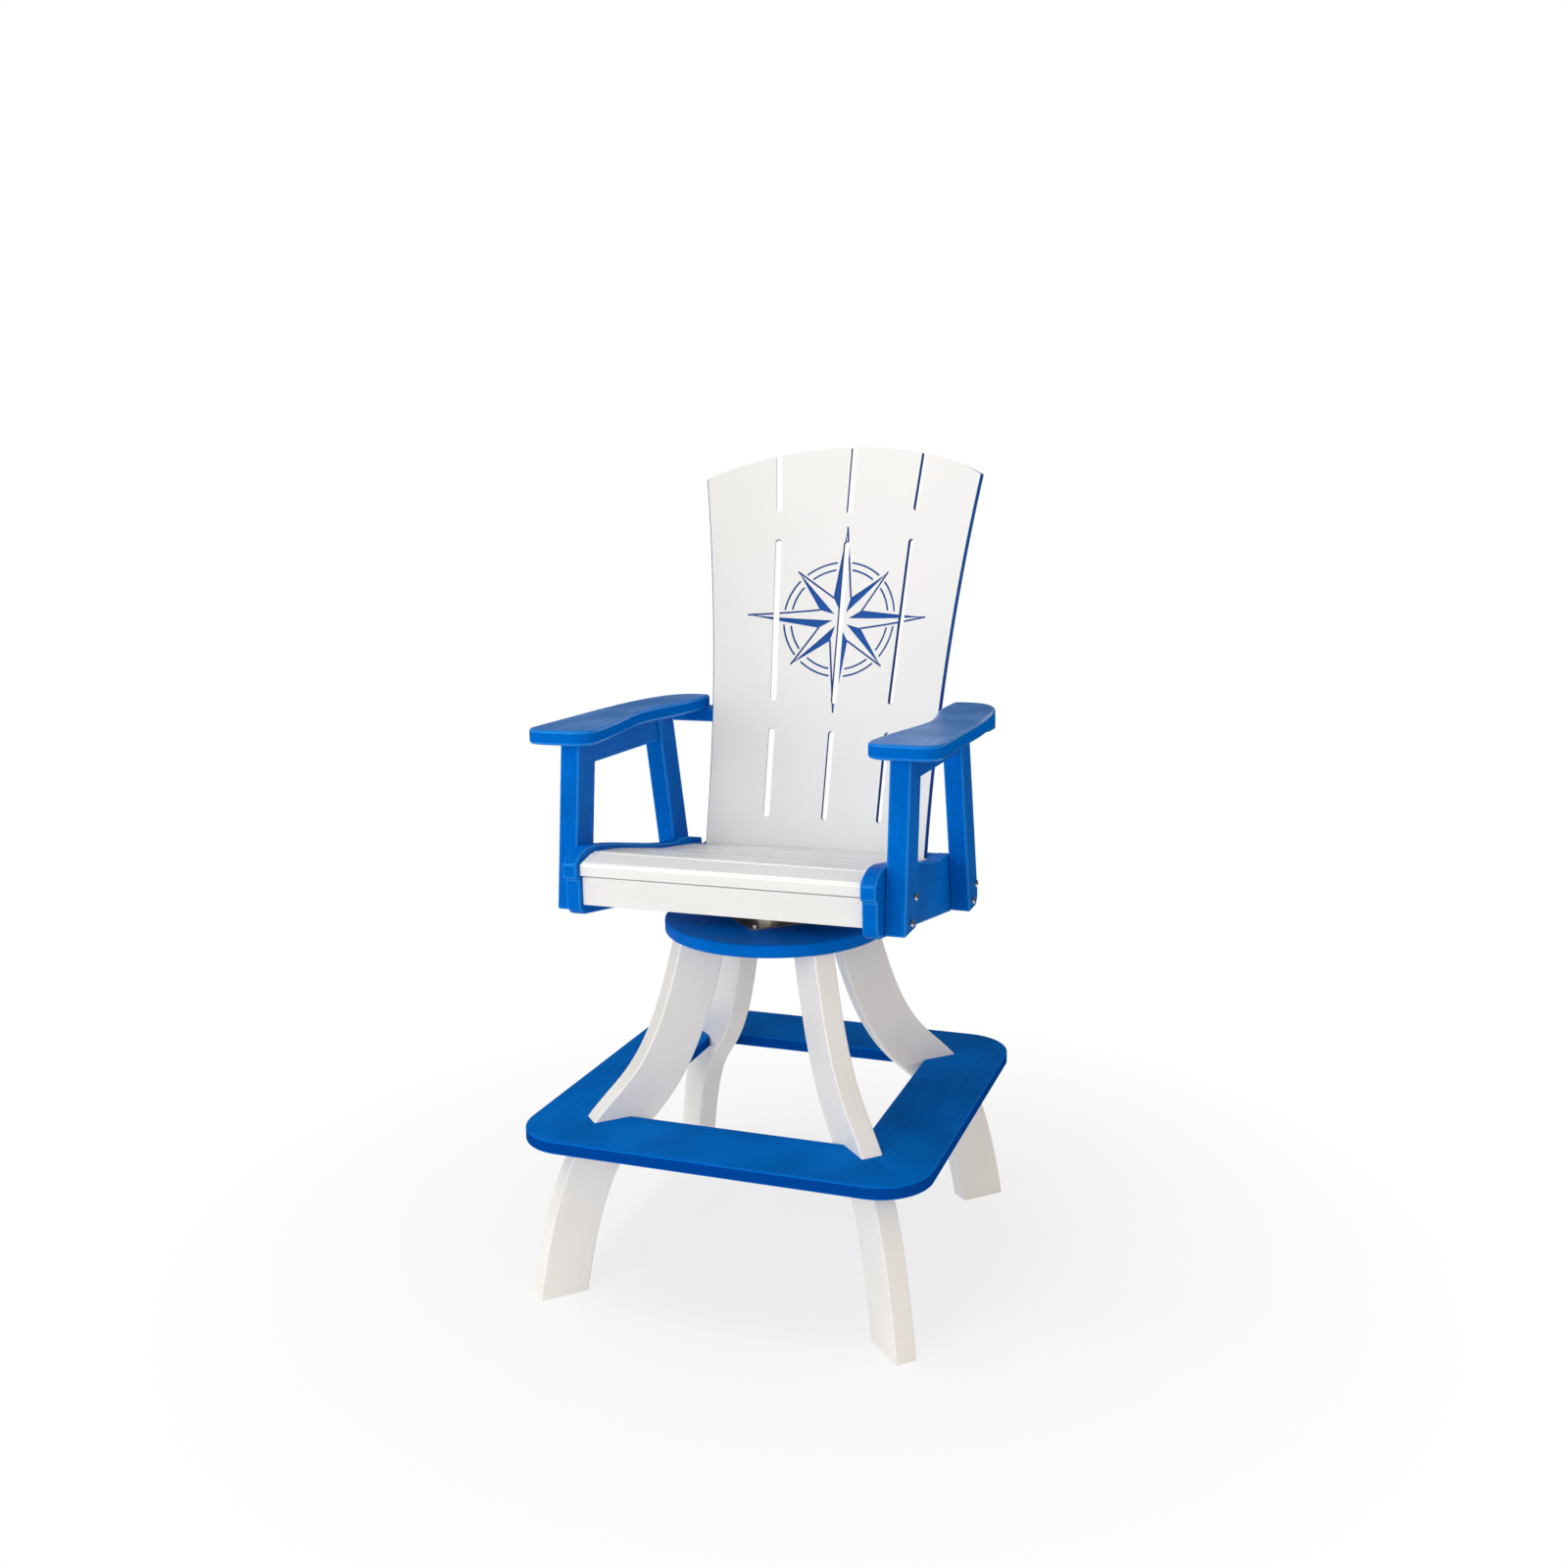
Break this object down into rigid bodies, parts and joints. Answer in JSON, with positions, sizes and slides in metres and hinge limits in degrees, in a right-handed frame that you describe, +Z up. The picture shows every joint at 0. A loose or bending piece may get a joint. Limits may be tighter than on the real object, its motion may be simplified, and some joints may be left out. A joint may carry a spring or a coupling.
{
  "type": "swivel bar chair",
  "caption": "Tall swivel armchair of blue and white poly lumber: splayed curved legs, footrest ring, turntable swivel, contoured slatted seat, arms and a bowed, slotted back.",
  "frame": {"origin": "on the floor at the middle of the chair's box, 66.7 mm behind the swivel axis", "axes": "+Z up; the sitter faces -Y at rest; +X to the right as seen from the front. Left and right in names are as seen from the front"},
  "size_m": [0.7112, 0.8446, 1.4311],
  "materials": {
    "blue_poly_lumber": "satin, fine brushed grain",
    "white_poly_lumber": "satin, fine brushed grain",
    "stainless_steel": "bright",
    "zinc_plated_steel": "dull zinc"
  },
  "bodies": {
    "base": {"base_disc": "blue_poly_lumber", "footrest_front": "blue_poly_lumber", "footrest_left": "blue_poly_lumber", "footrest_rear": "blue_poly_lumber", "footrest_right": "blue_poly_lumber", "leg_front_left": "white_poly_lumber", "leg_front_right": "white_poly_lumber", "leg_rear_left": "white_poly_lumber", "leg_rear_right": "white_poly_lumber", "leg_screw_front_left": "stainless_steel", "leg_screw_front_right": "stainless_steel", "leg_screw_rear_left": "stainless_steel", "leg_screw_rear_right": "stainless_steel", "swivel_lower_bolt_front": "stainless_steel", "swivel_lower_bolt_left": "stainless_steel", "swivel_lower_bolt_rear": "stainless_steel", "swivel_lower_bolt_right": "stainless_steel", "swivel_lower_plate": "zinc_plated_steel", "swivel_pin": "zinc_plated_steel", "swivel_pin_nut": "zinc_plated_steel"},
    "ball_ring": {"ball_ring": "stainless_steel"},
    "seat": {"arm_left": "blue_poly_lumber", "arm_rail_left": "blue_poly_lumber", "arm_rail_right": "blue_poly_lumber", "arm_right": "blue_poly_lumber", "back_panel": "white_poly_lumber", "lower_back_rail": "blue_poly_lumber", "mounting_board_front": "white_poly_lumber", "mounting_board_rear": "white_poly_lumber", "post_front_left": "blue_poly_lumber", "post_front_right": "blue_poly_lumber", "post_rear_left": "blue_poly_lumber", "post_rear_right": "blue_poly_lumber", "post_screw_left_front_lower": "stainless_steel", "post_screw_left_front_upper": "stainless_steel", "post_screw_left_rear_lower": "stainless_steel", "post_screw_left_rear_upper": "stainless_steel", "post_screw_right_front_lower": "stainless_steel", "post_screw_right_front_upper": "stainless_steel", "post_screw_right_rear_lower": "stainless_steel", "post_screw_right_rear_upper": "stainless_steel", "seat_apron": "white_poly_lumber", "seat_cleat_left": "white_poly_lumber", "seat_cleat_right": "white_poly_lumber", "seat_rail_left": "blue_poly_lumber", "seat_rail_right": "blue_poly_lumber", "seat_slat_1": "white_poly_lumber", "seat_slat_2": "white_poly_lumber", "seat_slat_3": "white_poly_lumber", "seat_slat_4": "white_poly_lumber", "seat_slat_5": "white_poly_lumber", "seat_slat_6": "white_poly_lumber", "swivel_upper_bolt_front_left": "stainless_steel", "swivel_upper_bolt_front_right": "stainless_steel", "swivel_upper_bolt_rear_left": "stainless_steel", "swivel_upper_bolt_rear_right": "stainless_steel", "swivel_upper_plate": "zinc_plated_steel", "upper_back_rail": "blue_poly_lumber"}
  },
  "joints": [
    {"name": "seat_swivel", "type": "hinge", "parent": "base", "child": "seat", "pos_m": [0, -0.0667, 0.63], "axis": [0, 0, 1], "continuous": true},
    {"name": "ball_ring_roll", "type": "hinge", "parent": "base", "child": "ball_ring", "pos_m": [0, -0.0667, 0.63], "axis": [0, 0, 1], "continuous": true}
  ],
  "couplings": [
    {"joint": "ball_ring_roll", "follows": "seat_swivel", "ratio": 0.5}
  ]
}
